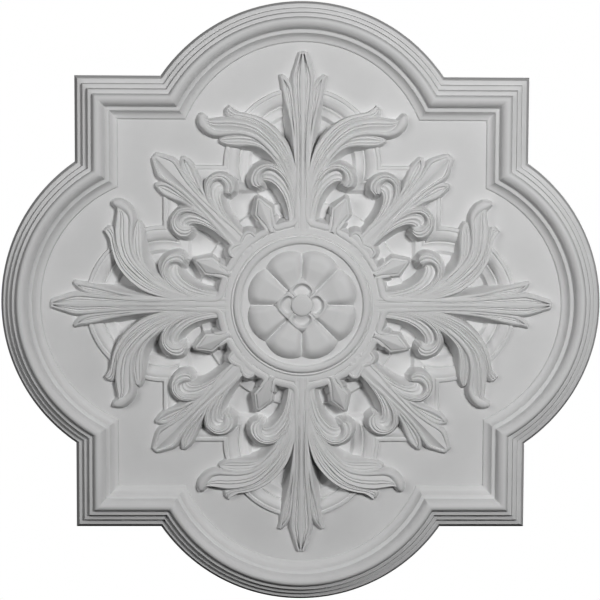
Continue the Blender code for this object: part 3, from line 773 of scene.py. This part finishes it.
short_side_lobes = (
    {"knots": SHORT_EAR, "section": EAR_SECTION, "crown": 0.4, "rim": 0.12, "tip_gain": 0.4},
    {"knots": SHORT_CURL_LEAF, "section": CURL_SECTION, "crown": 0.8},
    {"knots": SHORT_CURL_BAND, "section": BAND_SECTION, "crown": 1.4, "full_width": 9.0, "leans": (0.8, 1.0)},
    {"knots": TIE, "section": TIE_SECTION, "crown": 0.6},
)
bud = {"knots": BUD, "section": BUD_SECTION, "crown": 0.4, "full_width": 20.0, "rim": 0.11}
short_spray = spray(short_side_lobes, (bud,))
four_sprays("short_leaf_spray", short_spray, DIAGONAL)


# Room
# The rose hangs face down over a plain floor of pale matt paint, in soft studio light. The lamps look up
# at the rose and leave the floor dark, so its paint glows a little, and throws no light back.
FLOOR_DEPTH = 2.4
FLOOR_HALF = 6.0
FLOOR_COLOUR = "#DADADA"
FLOOR_GLOW = "#F4F4F4"
FLOOR_GLOW_STRENGTH = 0.85
ROOM_STRENGTH = 0.008

bm = bmesh.new()
bmesh.ops.create_grid(bm, x_segments=1, y_segments=1, size=FLOOR_HALF)
bmesh.ops.translate(bm, verts=bm.verts, vec=(0, 0, -FLOOR_DEPTH))
floor = bpy.data.objects.new("floor", as_mesh(bm, "floor"))
bpy.context.scene.collection.objects.link(floor)
floor_paint = bpy.data.materials.new("pale_matt_floor_paint")
floor_paint.use_nodes = True
floor_shader = floor_paint.node_tree.nodes["Principled BSDF"]
floor_shader.inputs["Base Color"].default_value = linear(FLOOR_COLOUR)
floor_shader.inputs["Roughness"].default_value = 0.9
floor_shader.inputs["Emission Color"].default_value = linear(FLOOR_GLOW)
floor_shader.inputs["Emission Strength"].default_value = FLOOR_GLOW_STRENGTH
floor.data.materials.append(floor_paint)
floor.visible_diffuse = False
floor.visible_glossy = False

# White behind the rose for the camera alone, and nearly dark for everything that the room lights
scene = bpy.context.scene
world = bpy.data.worlds.new("white_room")
world.use_nodes = True
scene.world = world
tree = world.node_tree
tree.nodes.clear()
dim = node(tree, "ShaderNodeBackground", {"Strength": ROOM_STRENGTH})
white = node(tree, "ShaderNodeBackground", {"Color": (1.0, 1.0, 1.0, 1.0), "Strength": 1.0})
seen = node(tree, "ShaderNodeLightPath").outputs["Is Camera Ray"]
mixed = node(tree, "ShaderNodeMixShader", Fac=seen)
tree.links.new(dim.outputs[0], mixed.inputs[1])
tree.links.new(white.outputs[0], mixed.inputs[2])
node(tree, "ShaderNodeOutputWorld", Surface=mixed.outputs[0])


def soft_light(name, place, size, power):
    """A square soft box that faces the middle of the rose."""
    lamp = bpy.data.lights.new(name, "AREA")
    lamp.size = size
    lamp.energy = power
    holder = bpy.data.objects.new(name, lamp)
    holder.location = place
    holder.rotation_euler = Vector(place).to_track_quat("Z", "Y").to_euler()
    holder.visible_camera = False
    scene.collection.objects.link(holder)


soft_light("key", (1.0, -0.64, -2.22), size=0.45, power=39.5)
soft_light("fill", (-1.55, -0.65, -1.62), size=0.8, power=13.0)
soft_light("back_light", (-0.3, 0.3, 2.6), size=1.5, power=60.0)


# Camera
# The photograph looks up at the rose almost squarely. Its distance doesn't show, so two metres are
# taken. It shows its whites pale and its shadows open, which the view's gamma follows.
CAMERA_DISTANCE = 2.0
CAMERA_SWING = math.radians(1.09)
CAMERA_TILT = math.radians(3.79)
CAMERA_ROLL = math.radians(0.24)
FOCAL_PIXELS = 1514.4
IMAGE_PIXELS = 600
SENSOR_WIDTH = 36.0
SHIFT_PIXELS = (-1.49, 3.48)
VIEW_GAMMA = 0.75


def hung(vector):
    """From the view of someone who looks up at the rose, to the frame's axes."""
    return Vector((vector[0], -vector[1], -vector[2]))


towards = Vector((-math.sin(CAMERA_SWING) * math.cos(CAMERA_TILT), math.sin(CAMERA_TILT),
                  math.cos(CAMERA_SWING) * math.cos(CAMERA_TILT)))
right = (-towards).cross(Vector((0, 1, 0))).normalized()
up = right.cross(-towards)
rolled_right = math.cos(CAMERA_ROLL) * right + math.sin(CAMERA_ROLL) * up
rolled_up = math.cos(CAMERA_ROLL) * up - math.sin(CAMERA_ROLL) * right
camera_data = bpy.data.cameras.new("camera")
camera_data.sensor_width = SENSOR_WIDTH
camera_data.lens = SENSOR_WIDTH * FOCAL_PIXELS / IMAGE_PIXELS
camera_data.shift_x = SHIFT_PIXELS[0] / IMAGE_PIXELS
camera_data.shift_y = SHIFT_PIXELS[1] / IMAGE_PIXELS
camera = bpy.data.objects.new("camera", camera_data)
turn = Matrix((hung(rolled_right), hung(rolled_up), hung(towards))).transposed().to_4x4()
turn.translation = hung(CAMERA_DISTANCE * towards)
camera.matrix_world = turn
scene.collection.objects.link(camera)
scene.camera = camera

scene.view_settings.view_transform = "Standard"
scene.view_settings.gamma = VIEW_GAMMA
